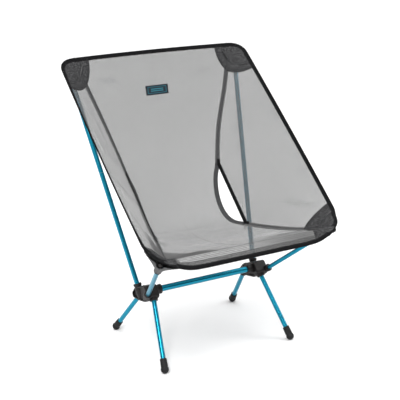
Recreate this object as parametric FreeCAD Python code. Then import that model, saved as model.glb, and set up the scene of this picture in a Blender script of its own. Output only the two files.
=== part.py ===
"""Ultralight backpacking chair: a shock-corded tube frame that carries a mesh sling.

Millimetres. +Z is up and -Y is the way the sitter faces. The origin is on the floor, under
the middle of the chair. Paired pieces are built on the +X side, named right, and mirrored
to the -X side, named left: right and left as seen by someone who faces the chair.
"""
import FreeCAD, Part
import math
import os
from collections import namedtuple

V = FreeCAD.Vector

# ---------------------------------------------------------------- driving dimensions
# Overall size of the open chair
OVERALL_WIDTH = 490.0
OVERALL_DEPTH = 470.0
OVERALL_HEIGHT = 640.0

# Size that the points of the drawing belong to: they stretch from it to the overall size
DRAWN_WIDTH = 490.0
DRAWN_DEPTH = 470.0
DRAWN_HEIGHT = 640.0

# Drawing of the frame: where each tube ends inside the hub, and where the feet stand
FRONT_LEG_ROOT = (138.6, -20.7, 154.9)
REAR_LEG_ROOT = (137.3, 20.5, 136.1)
FRONT_POLE_ROOT = (153.1, -21.9, 134.1)
BACK_POLE_ROOT = (151.7, 8.0, 127.3)
FRONT_FOOT = (165.9, -129.8, 0.0)
REAR_FOOT = (163.0, 122.2, 0.0)
BAR_AXIS = (0.0, -16.6, 146.7)

# Drawing of the sling: its straight side edge, the ridge and hem of the front lip
EDGE_TOP = (242.5, 222.2, 640.0)
EDGE_FRONT = (239.0, -225.8, 289.0)
RIDGE = (0.0, -221.8, 302.0)
HEM = (0.0, -233.8, 276.0)

# Drawing of the seam on one side, from the top edge down the back and forward to the ridge
SEAM = [
    (205.0, 222.7, 640.0),
    (172.0, 184.2, 540.0),
    (141.0, 159.2, 449.0),
    (120.0, 128.2, 370.0),
    (106.0, 94.2, 298.0),
    (107.0, 44.2, 259.0),
    (117.5, -3.8, 257.0),
    (137.0, -57.8, 263.0),
    (180.0, -163.8, 283.0),
    (203.0, -217.8, 301.0),
]
# The vent lies between these two points of the seam
VENT_TOP = 3
VENT_BOTTOM = 6

# How far the middle of the panel lies behind and above the line between the seams
SAG = [
    (0.0, 11.0, 0.0),
    (0.0, 21.0, -6.0),
    (0.0, 21.0, -11.0),
    (0.0, 23.0, -15.0),
    (0.0, 20.0, -18.0),
    (0.0, 8.0, -18.0),
    (0.0, 0.0, -16.0),
    (0.0, 0.0, -14.0),
    (0.0, -2.0, -2.0),
    (0.0, -3.0, 1.0),
]
EDGE_BULGE = 3.0

# Tubes
LEG_RADIUS = 5.5
FRONT_POLE_RADIUS = 5.0
BACK_POLE_RADIUS = 5.5
BAR_RADIUS = 7.2
TUBE_WALL = 0.9
FERRULE_LENGTH = 60.0
FERRULE_AT = 0.48
SECTION_GAP = 0.4

# Hub: sockets, flanges at their mouths, and the web that joins them
SOCKET_DEPTH = 30.0
SOCKET_FLOOR = 5.0
SOCKET_WALL = 2.8
SOCKET_PLAY = 0.05
FLANGE_LENGTH = 5.0
FLANGE_HEIGHT = 1.2
FLANGE_ROUND = 0.8
ROOT_ROUND = 1.2
MOUTH_GAP = 0.6
MOUTH_REACH = 40.0
COLLAR_LENGTH = 15.0
BAR_SEAT = 13.0
WEB_REACH = 14.0
WEB_SETBACK = 0.6
WEB_ROUND = 1.6
WEB_RIM = 3.2
WEB_RECESS = 4.5

# Rubber feet
FOOT_RADIUS = 9.0
FOOT_FLAT = 0.6
SLEEVE_LENGTH = 24.0
SLEEVE_WALL = 2.1
SLEEVE_BULGE = 0.4
SLEEVE_CHAMFER = 0.8

# Capped pole ends
CAP_LIP = 0.8
CAP_SPIGOT = 15.0
CAP_HEAD = 3.0

# Elastic cord
CORD_RADIUS = 1.4
CORD_HOLE_RADIUS = 2.2
CORD_HOLE_REACH = 6.0
KNOT_RADIUS = 3.2
PLUG_LENGTH = 6.0

# Sling cloth
MESH_THICKNESS = 1.8
BINDING_WIDTH = 8.5
BINDING_THICKNESS = 2.6
TAPE_WIDTH = 11.0
TAPE_THICKNESS = 2.2
LIP_THICKNESS = 2.2
LIP_GAP = 1.1
PANEL_ROWS = 16
PANEL_COLUMNS = (-1.0, -0.6, 0.0, 0.6, 1.0)

# Reinforced corners, each on a plane tilted from the slope of the side edge
PATCH_THICKNESS = 3.0
PATCH_CORNER_RADIUS = 30.0
PATCH_REACH = 60.0
TOP_PATCH_WIDTH = 77.0
TOP_PATCH_HEIGHT = 97.0
TOP_PATCH_TILT = 4.0
FRONT_PATCH_WIDTH = 87.0
FRONT_PATCH_HEIGHT = 80.0
FRONT_PATCH_TILT = -9.0
FRONT_CORNER_RISE = 7.6
BODY_GAP = 0.6

# Where a pole's end lies: in from the side edge, along it, and clear under the patch
TOP_TIP_INWARD = 23.1
TOP_TIP_ALONG = 20.0
TOP_TIP_CLEARANCE = 9.3
FRONT_TIP_INWARD = 24.8
FRONT_TIP_ALONG = 13.7
FRONT_TIP_CLEARANCE = 10.7

# Pockets
POCKET_DEPTH = 42.0
POCKET_WALL = 1.8
POCKET_PLAY = 0.5

# Label sewn on the back
LABEL_WIDTH = 59.0
LABEL_HEIGHT = 23.0
LABEL_THICKNESS = 1.2
LABEL_GAP = 0.1
LABEL_Z = 549.0

OUTWARD = V(1, 0, 0)
INWARD = V(-1, 0, 0)


# ---------------------------------------------------------------- small helpers
def drawn(point):
    """A point of the drawing, stretched to the overall size."""
    x, y, z = point
    across = x * OVERALL_WIDTH / DRAWN_WIDTH
    along = y * OVERALL_DEPTH / DRAWN_DEPTH
    return V(across, along, z * OVERALL_HEIGHT / DRAWN_HEIGHT)


def unit(vector):
    return vector * (1.0 / vector.Length)


def towards(start, end, distance):
    return start + unit(end - start) * distance


def rod(start, end, radius):
    return Part.makeCylinder(radius, (end - start).Length, start, unit(end - start))


def tube(start, end, radius):
    return rod(start, end, radius).cut(rod(start, end, radius - TUBE_WALL))


def revolve_profile(points, start, direction):
    """Solid of revolution: points are (distance along the axis, radius)."""
    outline = [V(radius, 0, along) for along, radius in points]
    wire = Part.makePolygon(outline + [outline[0]])
    solid = Part.Face(wire).revolve(V(0, 0, 0), V(0, 0, 1), 360)
    turn = FreeCAD.Rotation(V(0, 0, 1), direction)
    solid.Placement = FreeCAD.Placement(start, turn)
    return solid


def mirrored(shape):
    return shape.mirror(V(0, 0, 0), OUTWARD)


def both_sides(shapes):
    return shapes + [mirrored(shape) for shape in shapes]


def largest(shape):
    """The biggest solid that a cut leaves."""
    return max(shape.Solids, key=lambda solid: solid.Volume)


def fuse_all(shapes):
    return shapes[0].multiFuse(shapes[1:]).removeSplitter()


def cut_all(shape, tools):
    for tool in tools:
        shape = shape.cut(tool)
    return shape


def spline_edge(points):
    if len(points) == 2:
        return Part.LineSegment(points[0], points[1]).toShape()
    curve = Part.BSplineCurve()
    curve.interpolate(points)
    return curve.toShape()


def evenly(points, count):
    """Points spaced evenly along the smooth curve through the given points."""
    return spline_edge(points).discretize(Number=count)


def sewn_solid(faces):
    shell = Part.makeShell(faces)
    shell.sewShape()
    solid = Part.makeSolid(Part.Shell(shell.Faces))
    if solid.Volume < 0:
        solid.reverse()
    return solid


def thick_strip(inner, outer, thickness):
    """Thin solid ruled between two rows of points of the same count."""
    upper_in, upper_out, lower_in, lower_out = [], [], [], []
    last = len(inner) - 1
    for i in range(len(inner)):
        before = max(i - 1, 0)
        after = min(i + 1, last)
        along = inner[after] + outer[after] - inner[before] - outer[before]
        normal = unit(along.cross(outer[i] - inner[i])) * (thickness / 2)
        upper_in.append(inner[i] + normal)
        upper_out.append(outer[i] + normal)
        lower_in.append(inner[i] - normal)
        lower_out.append(outer[i] - normal)
    a, b, c, d = [spline_edge(row) for row in (upper_in, upper_out, lower_out, lower_in)]
    faces = [
        Part.makeRuledSurface(a, b),
        Part.makeRuledSurface(b, c),
        Part.makeRuledSurface(c, d),
        Part.makeRuledSurface(d, a),
    ]
    for i in (0, last):
        corners = [upper_in[i], upper_out[i], lower_out[i], lower_in[i]]
        faces.append(Part.Face(Part.makePolygon(corners + [corners[0]])))
    return sewn_solid(faces)


def thick_sheet(grid, thickness):
    """Thin solid around a smooth surface through a grid of points."""
    rows = len(grid)
    columns = len(grid[0])
    upper, lower = [], []
    for i in range(rows):
        upper.append([])
        lower.append([])
        for j in range(columns):
            along = grid[min(i + 1, rows - 1)][j] - grid[max(i - 1, 0)][j]
            across = grid[i][min(j + 1, columns - 1)] - grid[i][max(j - 1, 0)]
            normal = unit(along.cross(across)) * (thickness / 2)
            upper[i].append(grid[i][j] + normal)
            lower[i].append(grid[i][j] - normal)
    faces = []
    borders = []
    for points in (upper, lower):
        surface = Part.BSplineSurface()
        surface.interpolate(points)
        faces.append(surface.toShape())
        u0, u1, v0, v1 = surface.bounds()
        borders.append([surface.uIso(u0), surface.vIso(v1), surface.uIso(u1), surface.vIso(v0)])
    for above, below in zip(*borders):
        faces.append(Part.makeRuledSurface(above.toShape(), below.toShape()))
    return sewn_solid(faces)


# ---------------------------------------------------------------- corners and tube lines
Corner = namedtuple("Corner", "point down normal width height")
Tube = namedtuple("Tube", "root mouth end out radius")


def edge_slope():
    """Angle of the sling's side edge above the floor, from front to back."""
    run = drawn(EDGE_TOP) - drawn(EDGE_FRONT)
    return math.atan2(run.z, run.y)


def make_corner(point, away, tilt, width, height):
    """Corner of the sling: away is +1 where the side edge leaves it backwards, -1 forwards."""
    angle = edge_slope() + math.radians(tilt)
    down = V(0, away * math.cos(angle), away * math.sin(angle))
    normal = V(0, -math.sin(angle), math.cos(angle))
    return Corner(point, down, normal, width, height)


def tip_point(corner, inward, along, below):
    return corner.point + INWARD * inward + corner.down * along - corner.normal * below


def make_tube(root, end, radius):
    out = unit(end - root)
    return Tube(root, root + out * SOCKET_DEPTH, end, out, radius)


def foot_centre(point):
    return drawn(point) + V(0, 0, FOOT_RADIUS - FOOT_FLAT)


FRONT_CORNER_POINT = drawn(EDGE_FRONT) + V(0, 0, FRONT_CORNER_RISE)
CORNERS = {
    "top": make_corner(drawn(EDGE_TOP), -1, TOP_PATCH_TILT, TOP_PATCH_WIDTH, TOP_PATCH_HEIGHT),
    "front": make_corner(FRONT_CORNER_POINT, 1, FRONT_PATCH_TILT, FRONT_PATCH_WIDTH, FRONT_PATCH_HEIGHT),
}
BACK_POLE_END = tip_point(
    CORNERS["top"], TOP_TIP_INWARD, TOP_TIP_ALONG, BACK_POLE_RADIUS + CAP_LIP + TOP_TIP_CLEARANCE
)
FRONT_POLE_END = tip_point(
    CORNERS["front"], FRONT_TIP_INWARD, FRONT_TIP_ALONG, FRONT_POLE_RADIUS + CAP_LIP + FRONT_TIP_CLEARANCE
)
TUBES = {
    "front_leg": make_tube(drawn(FRONT_LEG_ROOT), foot_centre(FRONT_FOOT), LEG_RADIUS),
    "rear_leg": make_tube(drawn(REAR_LEG_ROOT), foot_centre(REAR_FOOT), LEG_RADIUS),
    "front_pole": make_tube(drawn(FRONT_POLE_ROOT), FRONT_POLE_END, FRONT_POLE_RADIUS),
    "back_pole": make_tube(drawn(BACK_POLE_ROOT), BACK_POLE_END, BACK_POLE_RADIUS),
}


# ---------------------------------------------------------------- hub
def convex_chain(points):
    """Points of one side of the convex outline around points sorted along it."""
    kept = []
    for point in points:
        while len(kept) > 1 and (kept[-1] - kept[-2]).cross(point - kept[-1]).x <= 0:
            kept.pop()
        kept.append(point)
    return kept[:-1]


def web_face(x, margin):
    """Side view of the hub's web at x: the outline around the sockets' roots, widened."""
    points = []
    for line in TUBES.values():
        for station in (line.root, line.root + line.out * WEB_REACH):
            points.append(V(x, station.y, station.z))
    points.sort(key=lambda point: (point.y, point.z))
    outline = convex_chain(points) + convex_chain(points[::-1])
    face = Part.Face(Part.makePolygon(outline + [outline[0]]))
    return face.makeOffset2D(margin)


def web_sides():
    """The inner and outer face of the web, just inside the outermost sockets."""
    inner = min(line.root.x - line.radius for line in TUBES.values()) - SOCKET_WALL + WEB_SETBACK
    outer = max(line.root.x + line.radius for line in TUBES.values()) + SOCKET_WALL - WEB_SETBACK
    return inner, outer


def bar_mouth():
    """Where the crossbar enters the hub's collar."""
    axis = drawn(BAR_AXIS)
    return V(web_sides()[0] - COLLAR_LENGTH, axis.y, axis.z)


def web():
    """The hub's middle, hollowed on both faces inside a rim."""
    inner, outer = web_sides()
    margin = LEG_RADIUS + SOCKET_WALL
    solid = web_face(inner, margin).extrude(OUTWARD * (outer - inner))
    solid = solid.makeFillet(WEB_ROUND, solid.Edges)
    for x in (inner, outer - WEB_RECESS):
        recess = web_face(x, margin - WEB_RIM).extrude(OUTWARD * WEB_RECESS)
        solid = solid.cut(recess)
    return solid


def socket(line):
    """Barrel and flange of one socket."""
    outer = line.radius + SOCKET_WALL
    root = line.root - line.out * SOCKET_FLOOR
    barrel = rod(root, line.mouth, outer)
    flange = rod(line.mouth - line.out * FLANGE_LENGTH, line.mouth, outer + FLANGE_HEIGHT)
    return [
        barrel.makeFillet(ROOT_ROUND, [barrel.Edges[0]]),
        flange.makeFillet(FLANGE_ROUND, [flange.Edges[0]]),
    ]


def socket_bores(line):
    """Room for the tube, for its way out past the mouth, and for the cord at its root."""
    return [
        rod(line.root, line.mouth, line.radius + SOCKET_PLAY),
        rod(line.mouth, line.mouth + line.out * MOUTH_REACH, line.radius + MOUTH_GAP),
        rod(line.root - line.out * (SOCKET_FLOOR + CORD_HOLE_REACH), line.root, CORD_HOLE_RADIUS),
    ]


def hub():
    body = [web()]
    bores = []
    for line in TUBES.values():
        body += socket(line)
        bores += socket_bores(line)
    mouth = bar_mouth()
    radius = BAR_RADIUS + SOCKET_WALL
    collar = rod(mouth, mouth + OUTWARD * (COLLAR_LENGTH + WEB_RECESS + WEB_RIM), radius)
    flange = rod(mouth, mouth + OUTWARD * FLANGE_LENGTH, radius + FLANGE_HEIGHT)
    body += [collar, flange.makeFillet(FLANGE_ROUND, flange.Edges)]
    bores.append(rod(mouth, mouth + OUTWARD * BAR_SEAT, BAR_RADIUS))
    bores.append(rod(mouth, mouth + OUTWARD * (BAR_SEAT + CORD_HOLE_REACH), CORD_HOLE_RADIUS))
    return largest(cut_all(fuse_all(body), bores))


# ---------------------------------------------------------------- tubes, feet, caps, cords
def cord(line, plug_length):
    """Elastic cord inside a tube, from the hub's cord passage to the plug, with its knot."""
    inside = line.root - line.out * (SOCKET_FLOOR / 2)
    knot_centre = line.end - line.out * (plug_length + KNOT_RADIUS)
    return rod(inside, knot_centre, CORD_RADIUS).fuse(Part.makeSphere(KNOT_RADIUS, knot_centre))


def plug(line):
    """Disc that holds the cord's knot in a leg, with a hole for the cord."""
    start = line.end - line.out * PLUG_LENGTH
    return rod(start, line.end, line.radius - TUBE_WALL).cut(rod(start, line.end, CORD_HOLE_RADIUS))


def rubber_foot(line):
    """Sleeve over the leg's end with a round sole, cut flat where it meets the floor."""
    sleeve_radius = line.radius + SLEEVE_WALL
    sleeve = revolve_profile(
        [
            (-SLEEVE_LENGTH, 0.0),
            (-SLEEVE_LENGTH, sleeve_radius - SLEEVE_CHAMFER),
            (-SLEEVE_LENGTH + SLEEVE_CHAMFER, sleeve_radius),
            (-FOOT_RADIUS, sleeve_radius + SLEEVE_BULGE),
            (0.0, sleeve_radius),
            (0.0, 0.0),
        ],
        line.end,
        line.out,
    )
    ball = Part.makeSphere(FOOT_RADIUS, line.end)
    rubber = sleeve.fuse(ball).cut(rod(line.root, line.end, line.radius))
    room = 2 * SLEEVE_LENGTH
    above_floor = Part.makeBox(2 * room, 2 * room, room, V(line.end.x - room, line.end.y - room, 0))
    return rubber.common(above_floor)


def leg(name):
    line = TUBES[name]
    return {
        name: tube(line.root, line.end, line.radius),
        name + "_plug": plug(line),
        name + "_cord": cord(line, PLUG_LENGTH),
        name + "_foot": rubber_foot(line),
    }


def tip_cap(line):
    """Moulded cap plugged into a pole's end: a spigot inside the tube and a round head."""
    radius = line.radius + CAP_LIP
    top = line.end + line.out * CAP_HEAD
    spigot = rod(line.end - line.out * CAP_SPIGOT, line.end, line.radius - TUBE_WALL)
    head = rod(line.end, top, radius)
    nose = Part.makeSphere(radius, top).common(rod(top, top + line.out * (2 * radius), 2 * radius))
    return fuse_all([spigot, head, nose])


def front_pole():
    line = TUBES["front_pole"]
    return {
        "front_pole": tube(line.root, line.end, line.radius),
        "front_pole_tip": tip_cap(line),
        "front_pole_cord": cord(line, CAP_SPIGOT),
    }


def back_pole():
    """Pole in two sections, the lower one carrying the ferrule that joins them."""
    line = TUBES["back_pole"]
    split = line.end + (line.mouth - line.end) * FERRULE_AT
    half = line.out * (FERRULE_LENGTH / 2)
    return {
        "back_pole_lower": tube(line.root, split, line.radius),
        "back_pole_upper": tube(split + line.out * SECTION_GAP, line.end, line.radius),
        "back_pole_ferrule": tube(split - half, split + half, line.radius - TUBE_WALL),
        "back_pole_tip": tip_cap(line),
        "back_pole_cord": cord(line, CAP_SPIGOT),
    }


def crossbar():
    right = bar_mouth() + OUTWARD * BAR_SEAT
    left = V(-right.x, right.y, right.z)
    spare = OUTWARD * (SOCKET_FLOOR / 2)
    return {
        "crossbar": tube(left, right, BAR_RADIUS),
        "crossbar_cord": rod(left - spare, right + spare, CORD_RADIUS),
    }


# ---------------------------------------------------------------- sling
SEAM_LINE = [drawn(point) for point in SEAM]


def edge_point(seam_point):
    """Point of the sling's side edge level with a seam point, square to the edge."""
    top = drawn(EDGE_TOP)
    run = drawn(EDGE_FRONT) - top
    slope = V(0, run.y, run.z)
    share = (seam_point - top).dot(slope) / slope.dot(slope)
    share = min(max(share, 0.0), 1.0)
    point = top + run * share
    point.x += EDGE_BULGE * 4 * share * (1 - share)
    return point


EDGE_LINE = [edge_point(point) for point in SEAM_LINE]


def panel_grid(margin):
    """Points of the back and seat, from the top edge to the front ridge."""
    sides = evenly(SEAM_LINE, PANEL_ROWS)
    middles = []
    for point, sag in zip(SEAM_LINE, SAG):
        middles.append(V(0, point.y, point.z) + drawn(sag))
    grid = []
    for edge, middle in zip(sides, evenly(middles, PANEL_ROWS)):
        level = V(0, edge.y, edge.z)
        row = []
        for share in PANEL_COLUMNS:
            point = level + (middle - level) * (1 - share * share)
            point.x = share * (edge.x - margin)
            row.append(point)
        grid.append(row)
    return grid


def seam_tape():
    inside = [point + INWARD * (TAPE_WIDTH / 2) for point in SEAM_LINE]
    outside = [towards(m, e, TAPE_WIDTH / 2) for m, e in zip(SEAM_LINE, EDGE_LINE)]
    return thick_strip(inside, outside, TAPE_THICKNESS)


def vent_line(count):
    """Straight inner edge of the wing, across the vent."""
    top = SEAM_LINE[VENT_TOP]
    run = SEAM_LINE[VENT_BOTTOM] - top
    return [top + run * (i / (count - 1)) for i in range(count)]


def vent_rows():
    inner = vent_line(VENT_BOTTOM - VENT_TOP + 1)
    return inner, [edge_point(point) for point in inner]


def wing():
    """Mesh between the seam and the side edge: above, beside and below the vent."""
    beside, beside_edge = vent_rows()
    parts = [
        (SEAM_LINE[:VENT_TOP + 1], EDGE_LINE[:VENT_TOP + 1], TAPE_WIDTH / 2),
        (beside, beside_edge, BINDING_WIDTH),
        (SEAM_LINE[VENT_BOTTOM:], EDGE_LINE[VENT_BOTTOM:], TAPE_WIDTH / 2),
    ]
    solids = []
    for inner, outer, margin in parts:
        start = [towards(i, o, margin) for i, o in zip(inner, outer)]
        finish = [towards(o, i, BINDING_WIDTH) for i, o in zip(inner, outer)]
        solids.append(thick_strip(start, finish, MESH_THICKNESS))
    return solids[0].multiFuse(solids[1:])


def vent_binding():
    inner, outer = vent_rows()
    inset = [towards(i, o, BINDING_WIDTH) for i, o in zip(inner, outer)]
    return thick_strip([inner[0], inner[-1]], [inset[0], inset[-1]], BINDING_THICKNESS)


def side_binding():
    inner = [towards(e, s, BINDING_WIDTH) for e, s in zip(EDGE_LINE, SEAM_LINE)]
    return thick_strip(inner, EDGE_LINE, BINDING_THICKNESS)


def top_binding():
    above, next_row = panel_grid(TAPE_WIDTH / 2)[:2]
    below = [towards(a, b, BINDING_WIDTH) for a, b in zip(above, next_row)]
    return thick_strip(above, below, BINDING_THICKNESS)


def lip_strip(start, finish, thickness):
    """Strip of the front lip between two distances down from the ridge."""
    ridge = drawn(RIDGE)
    hem = drawn(HEM)
    half = OUTWARD * SEAM_LINE[-1].x
    rows = []
    for distance in (start, finish):
        level = towards(ridge, hem, distance)
        rows.append([level - half, level + half])
    return thick_strip(rows[0], rows[1], thickness)


def row_at_height(surface, z):
    """Surface parameter where the middle of the back is at height z."""
    low, high, left, right = surface.bounds()
    middle = (left + right) / 2
    high = (low + high) / 2
    for _ in range(30):
        guess = (low + high) / 2
        if surface.value(guess, middle).z > z:
            low = guess
        else:
            high = guess
    return surface.value(low, middle)


def label():
    """Woven label on the sitter's side of the back."""
    surface = Part.BSplineSurface()
    surface.interpolate(panel_grid(TAPE_WIDTH / 2))
    gap = (MESH_THICKNESS + LABEL_THICKNESS) / 2 + LABEL_GAP
    grid = []
    for row in (1, 0, -1):
        level = row_at_height(surface, LABEL_Z * OVERALL_HEIGHT / DRAWN_HEIGHT + row * LABEL_HEIGHT / 2)
        points = []
        for column in (-1, 0, 1):
            u, v = surface.parameter(level + OUTWARD * (column * LABEL_WIDTH / 2))
            normal = surface.normal(u, v)
            if normal.y > 0:
                normal = normal * -1
            points.append(surface.value(u, v) + normal * gap)
        grid.append(points)
    return thick_sheet(grid, LABEL_THICKNESS)


# ---------------------------------------------------------------- reinforced corners and pockets
def on_plane(corner, inward, along):
    """Point of a plane well under the corner's own, where a prism through it starts."""
    return corner.point + INWARD * inward + corner.down * along - corner.normal * PATCH_REACH


def quarter_ellipse(corner, width, height):
    points = []
    for i in range(9):
        angle = math.pi / 2 * i / 8
        points.append(on_plane(corner, width * math.cos(angle), height * math.sin(angle)))
    return spline_edge(points)


def prism(corner, edges):
    return Part.Face(Part.Wire(edges)).extrude(corner.normal * (2 * PATCH_REACH))


def patch(corner):
    """Reinforced corner of the sling, with its outer corner rounded."""
    r = PATCH_CORNER_RADIUS
    middle = r * (1 - math.sqrt(0.5))
    start = on_plane(corner, r, 0)
    finish = on_plane(corner, 0, r)
    shape = prism(corner, [
        Part.LineSegment(start, on_plane(corner, corner.width, 0)).toShape(),
        quarter_ellipse(corner, corner.width, corner.height),
        Part.LineSegment(on_plane(corner, 0, corner.height), finish).toShape(),
        Part.Arc(finish, on_plane(corner, middle, middle), start).toShape(),
    ])
    sheets = thick_strip(SEAM_LINE, EDGE_LINE, PATCH_THICKNESS).fuse(thick_sheet(panel_grid(0.0), PATCH_THICKNESS))
    return largest(sheets.common(shape))


def corner_cutter(corner):
    """Prism over a corner that the sling's fixed middle leaves free for the patch."""
    width = corner.width + BODY_GAP
    height = corner.height + BODY_GAP
    outside = [
        on_plane(corner, 0, height),
        on_plane(corner, -PATCH_REACH, height),
        on_plane(corner, -PATCH_REACH, -PATCH_REACH),
        on_plane(corner, width, -PATCH_REACH),
        on_plane(corner, width, 0),
    ]
    return prism(corner, Part.makePolygon(outside).Edges + [quarter_ellipse(corner, width, height)])


def pocket(line, patch_solid):
    """Sleeve under the patch that takes the pole's capped end."""
    inner = line.radius + CAP_LIP + POCKET_PLAY
    nose = line.end + line.out * (CAP_HEAD + inner)
    start = line.end - line.out * (POCKET_DEPTH - CAP_SPIGOT)
    sleeve = rod(start, nose + line.out * POCKET_WALL, inner + POCKET_WALL)
    return largest(sleeve.cut(rod(start, nose, inner)).cut(patch_solid))


# ---------------------------------------------------------------- the whole chair
def corner_pieces():
    pieces = {}
    for kind, name in (("top", "back_pole"), ("front", "front_pole")):
        corner_patch = patch(CORNERS[kind])
        pieces[kind + "_corner_patch"] = corner_patch
        pieces[kind + "_corner_pocket"] = pocket(TUBES[name], corner_patch)
    return pieces


def right_hand_pieces():
    """Every paired piece of the frame and of the sling's corners."""
    pieces = {"hub": hub()}
    pieces.update(leg("front_leg"))
    pieces.update(leg("rear_leg"))
    pieces.update(front_pole())
    pieces.update(back_pole())
    pieces.update(corner_pieces())
    return pieces


def sling_pieces():
    """The sling's fixed middle: paired pieces, then the pieces that cross the chair."""
    cutters = [corner_cutter(corner) for corner in CORNERS.values()]
    tape = seam_tape()
    edge = side_binding()
    top = top_binding()
    vent = vent_binding().cut(tape)
    paired = {
        "side_wing": cut_all(wing(), [tape, vent, edge] + cutters),
        "seam_tape": cut_all(tape, [edge, top] + cutters),
        "vent_binding": vent,
        "side_binding": cut_all(edge, cutters),
    }
    corners = both_sides(cutters)
    panel = thick_sheet(panel_grid(TAPE_WIDTH / 2), MESH_THICKNESS)
    panel = largest(cut_all(panel, both_sides([tape]) + [top] + corners))
    lip_height = (drawn(HEM) - drawn(RIDGE)).Length
    fold = lip_height - BINDING_WIDTH
    single = {
        "back_and_seat_panel": panel,
        "top_binding": cut_all(top, corners),
        "front_lip": cut_all(lip_strip(LIP_GAP, fold, LIP_THICKNESS), [panel] + corners),
        "front_binding": cut_all(lip_strip(fold, lip_height, BINDING_THICKNESS), corners),
        "back_label": label(),
    }
    return paired, single


def build():
    paired, single = sling_pieces()
    paired.update(right_hand_pieces())
    nodes = dict(single)
    nodes.update(crossbar())
    for name, shape in paired.items():
        nodes[name + "_right"] = shape
        nodes[name + "_left"] = mirrored(shape)
    return nodes


def main():
    os.makedirs("parts", exist_ok=True)
    for name, shape in sorted(build().items()):
        shape.exportStep("parts/" + name + ".step")
        solids = len(shape.Solids)
        print("%-28s solids %d valid %s volume %.0f" % (name, solids, shape.isValid(), shape.Volume))


main()
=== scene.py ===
# %% [markdown]
# # An ultralight backpacking chair
# A light camping chair is a tent-pole frame with a cloth sling hung from its four tips. The
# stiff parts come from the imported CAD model. This notebook dresses them: it gives the tubes,
# hubs and feet their finishes, and it rebuilds every cloth piece as real sewn cloth.

# %% Load the frame
import math

import bmesh
import bpy
import numpy as np
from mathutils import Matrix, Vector
from mathutils.bvhtree import BVHTree


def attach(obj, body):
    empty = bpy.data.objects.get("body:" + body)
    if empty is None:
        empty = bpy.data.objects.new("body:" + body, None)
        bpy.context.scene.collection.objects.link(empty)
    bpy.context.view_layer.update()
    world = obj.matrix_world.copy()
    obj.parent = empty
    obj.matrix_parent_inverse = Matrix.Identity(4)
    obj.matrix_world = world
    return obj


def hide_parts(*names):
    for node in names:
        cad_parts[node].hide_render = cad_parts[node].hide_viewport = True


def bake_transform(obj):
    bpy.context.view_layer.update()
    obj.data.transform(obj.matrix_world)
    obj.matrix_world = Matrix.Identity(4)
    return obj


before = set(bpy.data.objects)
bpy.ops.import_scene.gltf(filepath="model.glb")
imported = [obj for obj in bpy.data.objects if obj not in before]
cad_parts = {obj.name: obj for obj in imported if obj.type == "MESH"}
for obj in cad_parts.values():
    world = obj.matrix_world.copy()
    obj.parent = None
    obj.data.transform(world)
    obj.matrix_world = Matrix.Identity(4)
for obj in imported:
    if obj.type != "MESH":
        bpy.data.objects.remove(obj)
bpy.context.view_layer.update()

# %% [markdown]
# ## Camera, floor and light
# The chair is looked at from its front left, a little from above, with a long lens so that
# its legs stay nearly parallel. A plain white floor and soft light are how such gear is usually
# shown. Two tall lights stand high and to the sides, and the sky is bright overhead and dim near
# the horizon, so that the round tubes catch a bright line and fall away to a darker edge.

# %% Camera
AZIMUTH, ELEVATION = math.radians(-29.97), math.radians(18.37)
DISTANCE, LENS = 2.2908, 91.2
AIM = Vector((-0.0046, -0.0038, 0.3354))

towards_camera = Vector((
    math.sin(AZIMUTH) * math.cos(ELEVATION),
    -math.cos(AZIMUTH) * math.cos(ELEVATION),
    math.sin(ELEVATION),
))
camera_data = bpy.data.cameras.new("camera")
camera_data.lens = LENS
camera_data.sensor_width = 36
camera = bpy.data.objects.new("camera", camera_data)
camera.location = AIM + towards_camera * DISTANCE
camera.rotation_mode = "QUATERNION"
camera.rotation_quaternion = (-towards_camera).to_track_quat("-Z", "Y")
bpy.context.collection.objects.link(camera)
bpy.context.scene.camera = camera
bpy.context.scene.view_settings.view_transform = "Standard"
print("camera at", [round(v, 3) for v in camera.location])

# %% Floor, sky and lights
FLOOR_SIZE = 60.0
# The sky brightens between two heights, from one strength to another.
SKY_START, SKY_FULL = 0.55, 0.95
SKY_DIM, SKY_BRIGHT = 0.24, 2.5


def add_light(name, place, aim, size, power, tint=(1, 1, 1)):
    """A large soft area light."""
    data = bpy.data.lights.new(name, "AREA")
    data.shape, data.size, data.size_y = "RECTANGLE", size[0], size[1]
    data.energy, data.color = power, tint
    light = bpy.data.objects.new(name, data)
    light.location = place
    light.rotation_mode = "QUATERNION"
    light.rotation_quaternion = (Vector(aim) - Vector(place)).to_track_quat("-Z", "Y")
    bpy.context.collection.objects.link(light)


add_light("key", (-1.9, -2.2, 2.9), (0, 0, 0.3), (0.9, 2.2), 110)
add_light("fill", (2.6, -1.0, 2.0), (0, 0, 0.3), (0.5, 2.0), 30)

world = bpy.data.worlds.new("studio")
world.use_nodes = True
sky = world.node_tree.nodes
direction = sky.new("ShaderNodeTexCoord")
parts = sky.new("ShaderNodeSeparateXYZ")
brightness = sky.new("ShaderNodeMapRange")
brightness.interpolation_type = "SMOOTHSTEP"
sky_values = {"From Min": SKY_START, "From Max": SKY_FULL, "To Min": SKY_DIM, "To Max": SKY_BRIGHT}
for socket, value in sky_values.items():
    brightness.inputs[socket].default_value = value
world.node_tree.links.new(direction.outputs["Generated"], parts.inputs[0])
world.node_tree.links.new(parts.outputs["Z"], brightness.inputs["Value"])
world.node_tree.links.new(brightness.outputs["Result"], sky["Background"].inputs["Strength"])
sky["Background"].inputs["Color"].default_value = (1, 1, 1, 1)
bpy.context.scene.world = world

floor_mesh = bpy.data.meshes.new("floor")
half_floor = FLOOR_SIZE / 2
floor_corners = [(x * half_floor, y * half_floor, 0) for x, y in ((-1, -1), (1, -1), (1, 1), (-1, 1))]
floor_mesh.from_pydata(floor_corners, [], [(0, 1, 2, 3)])
floor = bpy.data.objects.new("floor", floor_mesh)
bpy.context.collection.objects.link(floor)

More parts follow.
